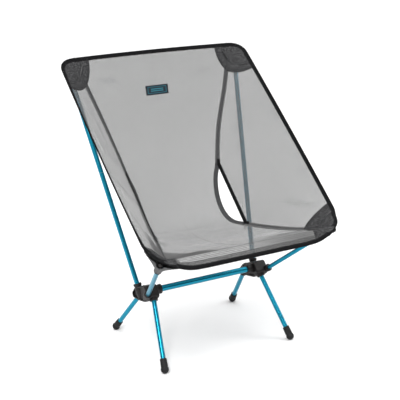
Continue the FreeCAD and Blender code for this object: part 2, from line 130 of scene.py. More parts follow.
# %% [markdown]
# ## A small language for finishes
# A finish is a graph of shader nodes. Writing each Math node by hand hides the idea, so a
# socket is wrapped in a class whose plus, minus and times add the nodes. Every other node
# comes from one method, which sets the node's options before its sockets.

# %% Shader helpers
def arithmetic(operation, swapped=False):
    """A method that adds one Math node for an operator."""
    def method(self, other):
        first, second = (other, self) if swapped else (self, other)
        return self.finish.node("ShaderNodeMath", {"operation": operation}, {0: first, 1: second})
    return method


class Field:
    """An output socket that can be added, multiplied and so on."""

    def __init__(self, finish, socket):
        self.finish, self.socket = finish, socket

    __add__ = arithmetic("ADD")
    __radd__ = arithmetic("ADD")
    __sub__ = arithmetic("SUBTRACT")
    __rsub__ = arithmetic("SUBTRACT", swapped=True)
    __mul__ = arithmetic("MULTIPLY")
    __rmul__ = arithmetic("MULTIPLY")
    __pow__ = arithmetic("POWER")


class Finish:
    """A material under construction, with one Principled shader."""

    def __init__(self, name, **shader):
        self.material = bpy.data.materials.new(name)
        self.material.use_nodes = True
        self.tree = self.material.node_tree
        self.shader = self.tree.nodes["Principled BSDF"]
        for socket, value in shader.items():
            self.feed(socket.replace("_", " ").title().replace("Ior", "IOR"), value)

    def node(self, kind, settings=None, sockets=None, output=0):
        """A node of that kind: its settings are set first, then its sockets are given values or links."""
        node = self.tree.nodes.new(kind)
        for key, value in (settings or {}).items():
            setattr(node, key, value)
        for key, value in (sockets or {}).items():
            self.connect(node.inputs[key], value)
        return Field(self, node.outputs[output])

    def connect(self, socket, value):
        if isinstance(value, Field):
            self.tree.links.new(value.socket, socket)
        else:
            socket.default_value = value

    def feed(self, socket, value):
        if isinstance(value, tuple) and len(value) == 3:
            value = (*value, 1)
        self.connect(self.shader.inputs[socket], value)

    def place(self, scale=(1, 1, 1), turn=(0, 0, 0)):
        """Object coordinates, scaled and turned."""
        coords = self.node("ShaderNodeTexCoord", output="Object")
        return self.node("ShaderNodeMapping", None, {"Vector": coords, "Scale": scale, "Rotation": turn})

    def cloth(self, scale=(1, 1, 1)):
        """The cloth's own coordinates in metres: across it and along it."""
        coords = self.node("ShaderNodeUVMap", {"uv_map": "cloth"})
        return self.node("ShaderNodeMapping", None, {"Vector": coords, "Scale": scale})

    def noise(self, where, size, detail=3.0, rough=0.55):
        """Smooth noise from 0 to 1 whose blotches are about size metres."""
        sockets = {"Vector": where, "Scale": 1 / size, "Detail": detail, "Roughness": rough}
        return self.node("ShaderNodeTexNoise", None, sockets)

    def wave(self, value, pitch):
        """A wave from 0 to 1 along value, once each pitch."""
        turned = value * (2 * math.pi / pitch)
        sine = self.node("ShaderNodeMath", {"operation": "SINE"}, {0: turned})
        return sine * 0.5 + 0.5

    def split(self, vector):
        """The three parts of a vector."""
        parts = self.node("ShaderNodeSeparateXYZ", None, {0: vector})
        node = parts.socket.node
        return [Field(self, socket) for socket in node.outputs]

    def blend(self, share, first, second):
        """Colour between first and second by share."""
        full = [(*c, 1) if isinstance(c, tuple) else c for c in (first, second)]
        sockets = {0: share, 6: full[0], 7: full[1]}
        return self.node("ShaderNodeMix", {"data_type": "RGBA"}, sockets, output=2)

    def clamp(self, value, low=0.0, high=1.0):
        return self.node("ShaderNodeClamp", None, {"Value": value, "Min": low, "Max": high})

    def bump(self, height, distance, strength=1.0):
        """Feeds Normal with a relief of that depth in metres."""
        sockets = {"Height": height, "Distance": distance, "Strength": strength}
        self.feed("Normal", self.node("ShaderNodeBump", None, sockets))


print("shader helpers ready")

# %% [markdown]
# ## Finishes for the stiff parts
# The poles are drawn aluminium tube, dyed blue in an anodising bath. Drawing leaves faint lines
# along each tube, so each tube's finish is turned until its noise runs along its own axis. The
# hubs, caps and feet are moulded, so they get a fine sparked grain in place of a polish.

# %% Blue anodised tube
BLUE = (0.012, 0.27, 0.40)
DEEP_BLUE = (0.008, 0.20, 0.31)


def anodised(name, axis):
    """Blue anodised tube whose drawing lines run along axis."""
    finish = Finish(name, metallic=0.9, roughness=0.3)
    turn = Vector(axis).rotation_difference(Vector((0, 0, 1))).to_euler()
    where = finish.place(turn=tuple(turn))
    x, y, z = finish.split(where)
    lines = finish.node("ShaderNodeCombineXYZ", None, {0: x * 900, 1: y * 900, 2: z * 6})
    streaks = finish.node("ShaderNodeTexNoise", None, {"Vector": lines, "Scale": 1.0, "Detail": 2.0})
    clouds = finish.noise(where, 0.03)
    finish.feed("Base Color", finish.blend(streaks * 0.6 + clouds * 0.4, DEEP_BLUE, BLUE))
    finish.feed("Roughness", streaks * 0.12 + 0.22)
    finish.bump(streaks, 0.00004, 0.5)
    return finish.material


def bare_metal():
    finish = Finish("bare_aluminium", metallic=1.0)
    grain = finish.noise(finish.place(), 0.0008)
    finish.feed("Base Color", finish.blend(grain, (0.46, 0.47, 0.48), (0.62, 0.63, 0.64)))
    finish.feed("Roughness", grain * 0.15 + 0.3)
    finish.bump(grain, 0.00003)
    return finish.material


# %% Moulded plastic and rubber
def moulded(name, dark, light, rough, grain_size, grain_depth):
    """Matt moulded material: a fine grain, with dusty lighter patches."""
    finish = Finish(name, specular_ior_level=0.3)
    where = finish.place()
    grain = finish.noise(where, grain_size, detail=2.0)
    dust = finish.noise(where, 0.012, detail=5.0)
    rubbed = finish.clamp(dust * 2.4 - 0.85)
    finish.feed("Base Color", finish.blend(rubbed * 0.8 + grain * 0.2, dark, light))
    finish.feed("Roughness", rough + grain * 0.14 - rubbed * 0.08)
    finish.bump(grain, grain_depth)
    return finish.material


hub_plastic = moulded("hub_plastic", dark=(0.0055, 0.0045, 0.0045), light=(0.017, 0.0145, 0.0145),
                      rough=0.42, grain_size=0.0006, grain_depth=0.00005)
foot_rubber = moulded("foot_rubber", dark=(0.004, 0.004, 0.0045), light=(0.014, 0.014, 0.015),
                      rough=0.62, grain_size=0.0009, grain_depth=0.00008)

# %% Elastic cord
def braided_cord():
    """Black braided sleeve over elastic, with a pale fleck."""
    finish = Finish("shock_cord", roughness=0.75)
    across, along, _ = finish.split(finish.cloth())
    first = finish.wave(along + across, 0.0016)
    second = finish.wave(along - across, 0.0016)
    braid = finish.clamp(first * second * 1.6)
    fleck = finish.clamp(finish.noise(finish.place(), 0.002, detail=1.0) * 8 - 5.2)
    black, pale = (0.012, 0.012, 0.013), (0.09, 0.09, 0.095)
    finish.feed("Base Color", finish.blend(braid * 0.5 + fleck * 0.5, black, pale))
    finish.bump(braid, 0.0002)
    return finish.material


shock_cord = braided_cord()
print("stiff finishes ready")

# %% [markdown]
# ## Finishes for the cloth
# Every cloth piece carries a UV map named cloth, in metres, so that one thread is the same
# size on each piece. The sling is an open mesh: its holes are a product of two waves that
# lowers Alpha. The corners are ripstop, a plain weave with a heavier thread every few
# millimetres. Tapes are ribbed across, as grosgrain is.

# %% Open mesh
MESH_PITCH = 0.0016


def open_mesh(name, thread, cover, hole):
    """See-through knitted mesh: cover is a thread's opacity and hole is how far a hole lowers it.

    The points of a piece may hold a painted shade, which closes the holes and darkens the cloth.
    It is painted shade in creases and where the cloth is seen at a low angle from the main camera.
    """
    finish = Finish(name, roughness=0.72)
    across, along, _ = finish.split(finish.cloth())
    holes = finish.wave(across, MESH_PITCH) * finish.wave(along, MESH_PITCH * 1.25)
    slubs = finish.noise(finish.cloth((1, 0.12, 1)), 0.004, detail=2.0)
    # Painted shade from the points: it closes the holes and darkens the thread towards 0.35 of its colour.
    shade = finish.node("ShaderNodeAttribute", {"attribute_name": "painted_shade"}, output="Fac")
    opened = holes * hole * (1 - shade * 0.8)
    finish.feed("Alpha", finish.clamp(cover + shade * 0.5 - opened + slubs * 0.05 - 0.025))
    tint = finish.blend(slubs, tuple(c * 0.86 for c in thread), thread)
    dark = tuple(c * 0.35 for c in thread)
    finish.feed("Base Color", finish.blend(shade, tint, dark))
    finish.bump(1 - holes, 0.00015, 0.4)
    return finish.material


mesh_cloth = open_mesh("mesh_cloth", (0.135, 0.135, 0.135), 0.655, 0.5)
hem_cloth = open_mesh("hem_cloth", (0.10, 0.10, 0.10), 0.58, 0.35)

# %% Ripstop, tapes and thread
def ripstop(name, dark, light):
    """Dark ripstop cloth: a fine weave with a heavier grid."""
    finish = Finish(name, roughness=0.7, specular_ior_level=0.25)
    across, along, _ = finish.split(finish.cloth())
    weave = finish.wave(across, 0.0007) * finish.wave(along, 0.0007)
    ribs = finish.wave(across, 0.0042) ** 24 + finish.wave(along, 0.0042) ** 24
    grid = finish.clamp(ribs)
    worn = finish.noise(finish.cloth(), 0.012, detail=4.0)
    heather = finish.noise(finish.cloth((1, 1.6, 1)), 0.0042, detail=5.0, rough=0.85)
    mix = finish.clamp(weave * 0.2 + grid * 0.25 + worn * 0.6 + heather * 5.0 - 2.7)
    finish.feed("Base Color", finish.blend(mix, dark, light))
    finish.bump(weave * 0.5 + grid, 0.00016)
    return finish.material


def ribbed_tape(name, dark, light, pitch):
    """Woven tape with ribs across it."""
    finish = Finish(name, roughness=0.7, specular_ior_level=0.08)
    across, along, _ = finish.split(finish.cloth())
    rib = finish.wave(along, pitch)
    edge = finish.wave(across, 0.0011)
    lint = finish.noise(finish.cloth(), 0.003, detail=4.0)
    mix = finish.clamp(rib * 0.45 + edge * 0.15 + lint * 0.4)
    finish.feed("Base Color", finish.blend(mix, dark, light))
    finish.bump(rib * 0.8 + edge * 0.2, 0.00022)
    return finish.material


corner_cloth = ripstop("corner_cloth", (0.010, 0.010, 0.011), (0.10, 0.10, 0.102))
sleeve_cloth = ripstop("sleeve_cloth", (0.05, 0.05, 0.051), (0.19, 0.19, 0.193))
seam_cloth = ribbed_tape("seam_cloth", (0.03, 0.03, 0.031), (0.07, 0.07, 0.072), 0.0013)
edge_cloth = ribbed_tape("edge_cloth", (0.0015, 0.0015, 0.002), (0.0075, 0.0075, 0.008), 0.0012)


def sewing_thread(name, colour):
    """Twisted polyester thread."""
    finish = Finish(name, roughness=0.55, specular_ior_level=0.3)
    twist = finish.noise(finish.place(), 0.0005, detail=1.0)
    finish.feed("Base Color", finish.blend(twist, tuple(c * 0.6 for c in colour), colour))
    finish.bump(twist, 0.00008)
    return finish.material


dark_thread = sewing_thread("dark_thread", (0.02, 0.02, 0.022))
grey_thread = sewing_thread("grey_thread", (0.09, 0.09, 0.094))

# %% Woven label
def woven_label():
    """Near-black damask with a teal border and two plain bars."""
    finish = Finish("woven_label", roughness=0.6, specular_ior_level=0.25)
    across, along, _ = finish.split(finish.cloth())
    left = finish.node("ShaderNodeMath", {"operation": "ABSOLUTE"}, {0: across})
    high = finish.node("ShaderNodeMath", {"operation": "ABSOLUTE"}, {0: along})
    step = 12000
    inside = finish.clamp((0.0245 - left) * step) * finish.clamp((0.0078 - high) * step)
    deeper = finish.clamp((0.0235 - left) * step) * finish.clamp((0.0068 - high) * step)
    border = inside - deeper
    bars = finish.clamp((0.0165 - left) * step) * finish.clamp((0.0034 - high) * step)
    gap = finish.clamp((0.0011 - high) * step)
    threads = finish.wave(across, 0.0005) * 0.4 + finish.wave(along, 0.0006) * 0.6
    mark = finish.clamp(border + bars * (1 - gap)) * (threads * 0.5 + 0.5)
    ground = finish.blend(threads, (0.006, 0.010, 0.016), (0.014, 0.020, 0.029))
    finish.feed("Base Color", finish.blend(mark, ground, (0.018, 0.20, 0.26)))
    finish.bump(threads + mark, 0.00015)
    return finish.material


label_cloth = woven_label()
print("cloth finishes ready")

# %% [markdown]
# ## The sling's surface
# A sling is cut from three pieces: one long panel for back and seat, and a wing on each side.
# The drawing below is one seam, one side edge and the sag of the panel's middle, as in the CAD
# source. A natural cubic spline through each line is what a batten would do, and evenly spaced
# points on it make a grid of cloth with square-ish cells.

# %% The drawing, in millimetres
MM = 0.001
SEAM = np.array([
    (205, 222.7, 640), (172, 184.2, 540), (141, 159.2, 449), (120, 128.2, 370), (106, 94.2, 298),
    (107, 44.2, 259), (117.5, -3.8, 257), (137, -57.8, 263), (180, -163.8, 283), (203, -217.8, 301),
]) * MM
SAG = np.array([
    (0, 11, 0), (0, 21, -6), (0, 21, -11), (0, 23, -15), (0, 20, -18),
    (0, 8, -18), (0, 0, -16), (0, 0, -14), (0, -2, -2), (0, -3, 1),
]) * MM
VENT_TOP, VENT_BOTTOM = 3, 6
EDGE_TOP = np.array((242.5, 222.2, 640.0)) * MM
EDGE_FRONT = np.array((239.0, -225.8, 289.0)) * MM
EDGE_BULGE = 3 * MM
CORNER_ACROSS, CORNER_DOWN = 36 * MM, 30 * MM
EDGE_END = 0.923
EDGE_TURN = 0.889
HEM = np.array([
    (235, -191, 315.5), (229.5, -206, 308), (220, -217, 301.5), (208, -224, 296), (194, -229.5, 290),
    (177, -233.5, 283.8), (158, -235, 279), (138, -234.6, 276.8), (100, -234, 276), (50, -233.8, 276),
    (0, -233.8, 276),
]) * MM


def smooth_line(points, places):
    """Points at the given shares of the natural cubic spline through points."""
    p = np.asarray(points, float)
    t = np.concatenate([[0], np.cumsum(np.linalg.norm(np.diff(p, axis=0), axis=1))])
    h = np.diff(t)
    system = np.eye(len(t))
    wanted = np.zeros_like(p)
    for i in range(1, len(t) - 1):
        system[i, i - 1:i + 2] = h[i - 1], 2 * (h[i - 1] + h[i]), h[i]
        wanted[i] = 6 * ((p[i + 1] - p[i]) / h[i] - (p[i] - p[i - 1]) / h[i - 1])
    bend = np.linalg.solve(system, wanted)
    at = np.linspace(0, t[-1], 4000)
    k = np.clip(np.searchsorted(t, at, side="right") - 1, 0, len(h) - 1)
    b, a = ((at - t[k]) / h[k])[:, None], ((t[k + 1] - at) / h[k])[:, None]
    hk = h[k][:, None]
    fine = a * p[k] + b * p[k + 1] + ((a**3 - a) * bend[k] + (b**3 - b) * bend[k + 1]) * hk**2 / 6
    return walk(fine, places)


def walk(line, shares):
    """Points of a polyline at the given shares of its length."""
    steps = np.concatenate([[0], np.cumsum(np.linalg.norm(np.diff(line, axis=0), axis=1))])
    places = np.asarray(shares) * steps[-1]
    return np.stack([np.interp(places, steps, line[:, i]) for i in range(3)], axis=-1)


def row_near(line, point):
    """Index of the point of line nearest to point."""
    return int(np.argmin(np.linalg.norm(line - point, axis=1)))


def units(vectors):
    return vectors / np.maximum(np.linalg.norm(vectors, axis=-1, keepdims=True), 1e-12)


# %% Grid of the panel
ROWS = 150
PANEL_COLUMNS = 64
WING_COLUMNS = 26
LIP_ROWS = 10

row_places = np.concatenate([0.04 * np.linspace(0, 1, 9)[:-1] ** 2, np.linspace(0.04, 1, ROWS - 7)])
seam = smooth_line(SEAM, row_places)
middle = smooth_line(np.column_stack([np.zeros(len(SEAM)), (SEAM + SAG)[:, 1:]]), row_places)
shares = np.linspace(-1, 1, PANEL_COLUMNS + 1)[None, :, None]
level = (seam * (0, 1, 1))[:, None]
panel = level + (middle[:, None] - level) * (1 - shares**2) + shares * (seam * (1, 0, 0))[:, None]
vent_rows = [row_near(seam, SEAM[i]) for i in (VENT_TOP, VENT_BOTTOM)]
print("panel grid", panel.shape, "vent rows", vent_rows)


# %% Grid of a wing and of the front lip
def side_edge(points):
    """Points of the rounded side edge, square to the edge from the given points."""
    run = EDGE_FRONT - EDGE_TOP
    slope = run * (0, 1, 1)
    share = np.clip((points - EDGE_TOP) @ slope / (slope @ slope), 0, 1)
    share = share * (EDGE_END / share.max())
    edge = EDGE_TOP + run * share[:, None]
    edge[:, 0] += EDGE_BULGE * 4 * share * (1 - share)
    turn = np.clip((share - EDGE_TURN) / (EDGE_END - EDGE_TURN), 0, 1)
    edge[:, 0] -= (edge[-1, 0] - HEM[0, 0]) * turn**2
    above = 1 - np.clip(share * np.linalg.norm(run) / CORNER_DOWN, 0, 1)
    edge[:, 0] -= CORNER_ACROSS * (1 - np.sqrt(1 - above**2))
    edge[-1] = HEM[0]
    return edge


wing_inner = seam.copy()
first, last = vent_rows
across_vent = np.linspace(0, 1, last - first + 1)[:, None]
wing_inner[first:last + 1] = seam[first] + (seam[last] - seam[first]) * across_vent
wing_outer = side_edge(wing_inner)
steps = np.linspace(0, 1, WING_COLUMNS + 1)[None, :, None]
wing = wing_inner[:, None] + (wing_outer - wing_inner)[:, None] * steps

ridge = np.concatenate([panel[-1, PANEL_COLUMNS // 2:], wing[-1, 1:]])
hem_line = smooth_line(HEM[::-1], np.linspace(0, 1, 600))
ridge_share = np.concatenate([[0], np.cumsum(np.linalg.norm(np.diff(ridge, axis=0), axis=1))])
hem = walk(hem_line, ridge_share / ridge_share[-1])
drop = np.linspace(0, 1, LIP_ROWS + 1)[:, None, None]
half_lip = ridge[None] + (hem - ridge)[None] * drop
bow = np.sin(np.pi * drop) * np.linalg.norm(hem - ridge, axis=1)[None, :, None]
half_lip = half_lip + bow * np.array((0, -0.05, 0.02))
lip = np.concatenate([half_lip[:, :0:-1] * (-1, 1, 1), half_lip], axis=1)
print("wing grid", wing.shape, "lip grid", lip.shape)

# %% [markdown]
# ## Soft creases
# Taut cloth still shows where it is pulled: short pinches fan out from the bottom of each vent,
# long shallow folds run down from the top corners, and a trough follows the front ridge. Each
# crease is a smooth ridge around a line, added along the cloth's normal, so one function draws
# them all, and both sides have the same ones. Most creases also paint shade along themselves:
# they add to the painted shade of their cloth, which darkens it and closes its holes.

# %% Creases
PINCH_WIDTH = 4  # narrower creases are pinches, which start abruptly at a sewn point
# Start, end, width and height, in millimetres on the right-hand side, then the added painted shade.
CREASES = [
    ((119, -8, 257), (92, -40, 248), 2.6, -1.8, 0.55),
    ((118, -2, 257), (84, -20, 246), 2.4, 1.4, 0.0),
    ((120, -16, 258), (104, -60, 251), 2.6, -1.4, 0.35),
    ((124, -14, 259), (146, -52, 265), 3.0, 1.2, 0.2),
    ((190, -190, 291), (40, -150, 273), 9.0, -2.6, 0.34),
    ((200, -186, 290), (120, -120, 270), 8.0, 1.6, 0.0),
    ((150, -176, 284), (0, -190, 284), 16.0, -1.0, 0.16),
    ((166, 214, 612), (60, 224, 604), 6.0, 1.0, 0.0),
    ((160, 206, 590), (90, 214, 576), 6.0, -0.8, 0.06),
    ((236, 160, 590), (243, 40, 497), 4.0, 1.4, 0.0),
    ((226, 160, 590), (232, 20, 470), 6.0, -1.2, 0.08),
    ((212, 165, 580), (200, 60, 450), 9.0, 1.4, 0.0),
    ((196, 170, 570), (160, 90, 400), 9.0, -1.2, 0.06),
    ((236, -130, 345), (215, -20, 400), 8.0, 1.2, 0.0),
    ((226, -150, 320), (180, -60, 320), 8.0, -1.0, 0.08),
]


def crease_shares(points, crease, side):
    """How much of a crease each point has, from 0 to 1."""
    start, end, width = crease[:3]
    a = np.array(start) * MM * (side, 1, 1)
    b = np.array(end) * MM * (side, 1, 1)
    along = np.clip((points - a) @ (b - a) / ((b - a) @ (b - a)), 0, 1)
    away = np.linalg.norm(points - a - along[..., None] * (b - a), axis=-1)
    head_start = 0.15 if width < PINCH_WIDTH else 0.0
    fade = np.sin(np.pi * np.clip(along * (1 - head_start) + head_start, 0, 1))
    return np.exp(-((away / (width * MM)) ** 2)) * fade


def crease_painted_shade(points):
    """The painted shade that the creases add on the right-hand side."""
    return sum(crease_shares(points, crease, 1) * crease[4] for crease in CREASES)


def creased(points, side):
    """The points pushed along their normals by the creases of one side."""
    height = sum(crease_shares(points, crease, side) * crease[3] * MM for crease in CREASES)
    return points + grid_normals(points) * height[..., None]


def grid_normals(grid):
    """Unit normals of a grid of points."""
    return units(np.cross(np.gradient(grid, axis=1), np.gradient(grid, axis=0)))


def settle(grid):
    """Both sides' creases, faded out at the grid's border."""
    rows, columns = grid.shape[:2]
    moved = creased(creased(grid, 1), -1) - grid
    i = np.minimum(np.arange(rows), np.arange(rows)[::-1])[:, None]
    j = np.minimum(np.arange(columns), np.arange(columns)[::-1])[None, :]
    fade = np.clip(np.minimum(i, j) / 3.0, 0, 1)
    return grid + moved * fade[..., None]


panel = settle(panel)
wing = settle(wing)
print("creases", len(CREASES))

# %% [markdown]
# ## How the sling comes off
# Each corner of the sling pulls off its pole by itself, so every cloth piece is cut into a top
# and a front part on each side. The parts meet near a line from the cloth's middle to the middle
# of the side edge.

# %% Where the parts meet
SIDE_MIDDLE = np.array((247.0, -24.0, 450.0)) * MM


SIDES = {"right": 1, "left": -1}


def soft(piece):
    """Bakes a cloth piece's placement into its mesh."""
    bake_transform(piece)


# %% [markdown]
# ## From grid to cloth
# A sheet of cloth with no thickness vanishes at its edge. Each grid becomes a shell: two layers
# half a millimetre apart, closed all round. Where two parts of one cloth meet, their closing
# strips lie face to face inside the cloth, and half a millimetre of see-through mesh hides them.

# %% Mesh builders
def make_piece(name, points, faces, uvs, material, attribute=None):
    """A mesh object with a cloth UV map in metres, smooth shaded."""
    mesh = bpy.data.meshes.new(name)
    mesh.from_pydata([tuple(p) for p in np.asarray(points)], [], [tuple(int(i) for i in f) for f in faces])
    layer = mesh.uv_layers.new(name="cloth")
    corners = np.array([loop.vertex_index for loop in mesh.loops])
    layer.data.foreach_set("uv", np.asarray(uvs, float)[corners].ravel())
    mesh.polygons.foreach_set("use_smooth", [True] * len(mesh.polygons))
    # A given attribute is the painted shade of each point.
    if attribute is not None:
        painted_shade = mesh.attributes.new("painted_shade", "FLOAT", "POINT")
        painted_shade.data.foreach_set("value", np.asarray(attribute, float))
    mesh.materials.append(material)
    piece = bpy.data.objects.new(name, mesh)
    bpy.context.collection.objects.link(piece)
    return piece


def shell(name, grid, normals, uv, thickness, material, painted_shade=None):
    """Cloth from a grid, thickness through and closed on all four sides."""
    rows, columns = grid.shape[:2]
    count = rows * columns
    half = normals * (thickness / 2)
    points = np.concatenate([(grid + half).reshape(-1, 3), (grid - half).reshape(-1, 3)])
    index = np.arange(count).reshape(rows, columns)
    a, b, c, d = (index[:-1, :-1], index[:-1, 1:], index[1:, 1:], index[1:, :-1])
    upper = np.stack([a, b, c, d], axis=-1).reshape(-1, 4)
    faces = [upper, upper[:, ::-1] + count]
    for line in (index[0], index[-1][::-1], index[:, 0][::-1], index[:, -1]):
        faces.append(np.stack([line[1:], line[:-1], line[:-1] + count, line[1:] + count], axis=-1))
    layer_shade = None if painted_shade is None else np.tile(painted_shade.ravel(), 2)
    both_uvs = np.tile(uv.reshape(-1, 2), (2, 1))
    return make_piece(name, points, np.concatenate(faces), both_uvs, material, layer_shade)


def grid_uv(grid):
    """Distances across and along a grid, in metres."""
    across = np.concatenate([np.zeros((grid.shape[0], 1)),
                             np.cumsum(np.linalg.norm(np.diff(grid, axis=1), axis=2), axis=1)], axis=1)
    across -= across[:, [grid.shape[1] // 2]]
    along = np.concatenate([[0], np.cumsum(np.linalg.norm(np.diff(grid.mean(1), axis=0), axis=1))])
    return np.stack([across, np.broadcast_to(along[:, None], across.shape)], axis=-1)


print("mesh builders ready")

# %% [markdown]
# ## The panel, the wings and the front lip
# The panel runs from the top hem, down the back, round under the sitter and up to the front
# ridge. The wings are sewn to it above and below an open vent. Both then turn down over the
# front ridge as a lip whose lower part is doubled into a hem.

# %% Quarters of cloth
CLOTH = 0.5 * MM


def mirrored(grid, side):
    """A right-hand grid, or its mirror with the columns turned so that it faces the same way."""
    return grid if side > 0 else grid[:, ::-1] * (-1, 1, 1)


def quarter(name, part, side_name, grid, normals, uv, thickness, material, painted_shade=None):
    """A cloth piece of one quarter, with its placement baked into its mesh."""
    side = SIDES[side_name]
    if side < 0:
        uv = uv[:, ::-1] * (-1, 1)
        painted_shade = None if painted_shade is None else painted_shade[:, ::-1]
    points, outward = mirrored(grid, side), mirrored(normals, side)
    label = f"{name}_{part}_{side_name}"
    piece = shell(label, points, outward, uv, thickness, material, painted_shade)
    soft(piece)
    return piece


def painted_shade_at_front(grid, side):
    """Painted shade of the cloth just behind the front ridge, on the side asked for.

    Cloth that is looked through at a low angle seems denser and darker. Alpha does not know the angle,
    so this paints that density and shade for the main camera: a crescent on the left and a plain band
    on the right. The creases' painted shade is added to it.
    """
    behind = grid[..., 1] - ridge[:, 1].min() - 0.0002
    if side < 0:
        outwards = np.clip((np.abs(grid[..., 0]) - 0.07) / 0.115, 0, 1)
        strength = 0.8 * np.clip(1 - behind / (0.015 + 0.16 * outwards**0.8), 0, 1) ** 0.35
    else:
        strength = 0.45 * np.clip(1 - behind / 0.05, 0, 1)
    front = np.clip((0.315 - grid[..., 2]) / 0.02, 0, 1) * strength
    return np.clip(front + crease_painted_shade(grid), 0, 1)


def painted_shade_of_lip(grid, side):
    """Painted shade of the lip, which rises towards the right for the main camera, as above."""
    return np.clip(0.14 + side * np.abs(grid[..., 0]) * 3.2, 0.08, 0.5)


# %% Panel and wings
half = PANEL_COLUMNS // 2
panel_uv, wing_uv = grid_uv(panel), grid_uv(wing)
wing_uv = wing_uv - wing_uv[:, :1] * (1, 0) + panel_uv[:, -1:] * (1, 0)
panel_normals, wing_normals = grid_normals(panel), grid_normals(wing)
panel_split = row_near(seam, SEAM[5])
wing_split = row_near(wing_outer, SIDE_MIDDLE)
panel_parts = {"top": slice(0, panel_split + 1), "front": slice(panel_split, ROWS + 1)}
wing_parts = {"top": slice(0, wing_split + 1), "front": slice(wing_split, ROWS + 1)}

for side_name in SIDES:
    for part in panel_parts:
        rows = panel_parts[part]
        cut = panel[rows, half:]
        piece = quarter("panel", part, side_name, cut, panel_normals[rows, half:], panel_uv[rows, half:],
                        CLOTH, mesh_cloth, painted_shade_at_front(cut, SIDES[side_name]))
        if (part, side_name) == ("top", "right"):
            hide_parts("back_and_seat_panel")
        rows = wing_parts[part]
        cut = wing[rows]
        piece = quarter("wing", part, side_name, cut, wing_normals[rows], wing_uv[rows], CLOTH,
                        mesh_cloth, painted_shade_at_front(cut, SIDES[side_name]))
        if part == "top":
            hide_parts("side_wing_" + side_name)
print("split rows", panel_split, wing_split)

# %% Front lip, with its doubled hem
lip_columns = half_lip.shape[1]
lip_normals = grid_normals(lip)[:, lip_columns - 1:]
lip_uv = grid_uv(lip)[:, lip_columns - 1:] + (0, panel_uv[-1, 0, 1])
hem_rows = slice(4, LIP_ROWS)
HEM_LAYERS = 2.4  # the doubled hem's thickness, in thicknesses of cloth
for side_name in SIDES:
    piece = quarter("lip", "front", side_name, half_lip, lip_normals, lip_uv, CLOTH,
                    mesh_cloth, painted_shade_of_lip(half_lip, SIDES[side_name]))
    if side_name == "right":
        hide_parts("front_lip")
    quarter("hem", "front", side_name, half_lip[hem_rows], lip_normals[hem_rows], lip_uv[hem_rows],
            CLOTH * HEM_LAYERS, hem_cloth)
print("lip", half_lip.shape)

# %% [markdown]
# ## Bound edges
# A strip of grosgrain is folded over the raw edge and sewn through, all the way round the
# sling. Its section is a flattened U: two flat sides and a round nose just outside the cloth.
# It follows the outline, leaning along the cloth that is nearest to each point.

# %% The outline
OUTLINE_POINTS = 421


def smooth_rows(values, rounds=6):
    """Values smoothed along their first axis, ends kept."""
    for _ in range(rounds):
        values[1:-1] = values[1:-1] * 0.5 + (values[:-2] + values[2:]) * 0.25
    return values


base_points = np.concatenate([panel.reshape(-1, 3), wing.reshape(-1, 3), half_lip.reshape(-1, 3)])
top_edge = np.concatenate([panel[0, half:], wing[0, 1:-1]])
outline = np.concatenate([top_edge, wing_outer[:-1], half_lip[-1][::-1]])
gaps = np.linalg.norm(np.diff(outline, axis=0), axis=1)
outline = outline[np.concatenate([[True], gaps > 1e-5])]
outline_length = np.linalg.norm(np.diff(outline, axis=0), axis=1).sum()
outline = smooth_rows(walk(outline, np.linspace(0, 1, OUTLINE_POINTS)))


def lean(points, tangents, cloth_points, reach):
    """Unit directions from each point into the cloth near it, square to the tangents."""
    inward = np.zeros_like(points)
    for i, point in enumerate(points):
        away = cloth_points - point
        weight = np.exp(-(away**2).sum(1) / (2 * reach**2))
        inward[i] = (away * weight[:, None]).sum(0) / weight.sum()
    inward -= (inward * tangents).sum(1)[:, None] * tangents
    return units(smooth_rows(units(inward)))


outline_tangents = units(np.gradient(outline, axis=0))
outline_tangents[[0, -1]] = (1, 0, 0), (-1, 0, 0)
both_halves = np.concatenate([base_points, base_points * (-1, 1, 1)])
outline_inward = lean(outline, outline_tangents, both_halves, 0.006)
outline_inward[[0, -1], 0] = 0
outline_normals = units(np.cross(outline_tangents, outline_inward))
outline_split = row_near(outline, SIDE_MIDDLE)
print("outline", round(float(outline_length), 3), "m a side, split at", outline_split)

# %% Grosgrain binding
BINDING = 8.5
U_HALF = [(BINDING, 0.36), (BINDING, 0.95), (BINDING - 0.6, 1.2), (4.5, 1.28), (1.2, 1.3), (-0.3, 1.05)]
U_SECTION = np.array(U_HALF + [(-1.1, 0)] + [(x, -y) for x, y in reversed(U_HALF)]) * MM


def swept(name, line, inward, normals, section, material):
    """A closed section swept along a line, with both ends capped."""
    rings = line[:, None] + inward[:, None] * section[None, :, :1] + normals[:, None] * section[None, :, 1:]
    rows, columns = rings.shape[:2]
    index = np.arange(rows * columns).reshape(rows, columns)
    across = np.roll(index, -1, axis=1)
    faces = np.stack([index[:-1], across[:-1], across[1:], index[1:]], axis=-1).reshape(-1, 4)
    caps = [tuple(index[0][::-1]), tuple(index[-1])]
    around = np.concatenate([[0], np.cumsum(np.linalg.norm(np.diff(section, axis=0), axis=1))])
    along = np.concatenate([[0], np.cumsum(np.linalg.norm(np.diff(line, axis=0), axis=1))])
    uv = np.stack(np.broadcast_arrays(around[None, :], along[:, None]), axis=-1).reshape(-1, 2)
    return make_piece(name, rings.reshape(-1, 3), [tuple(f) for f in faces] + caps, uv, material)


def face_outwards(piece):
    """Turns the faces outwards, for closed pieces."""
    work = bmesh.new()
    work.from_mesh(piece.data)
    bmesh.ops.recalc_face_normals(work, faces=work.faces)
    work.to_mesh(piece.data)
    work.free()


outline_parts = {"top": slice(0, outline_split + 1), "front": slice(outline_split, len(outline))}
for side_name, side in SIDES.items():
    for part, span in outline_parts.items():
        flip = (side, 1, 1)
        piece = swept(f"binding_{part}_{side_name}", outline[span] * flip, outline_inward[span] * flip,
                      outline_normals[span] * flip, U_SECTION, edge_cloth)
        face_outwards(piece)
        soft(piece)
        hidden = {"top": ["side_binding_" + side_name], "front": []}[part]
        if side > 0:
            hidden.append(part + "_binding")
        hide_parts(*hidden)
print("binding pieces", 4)

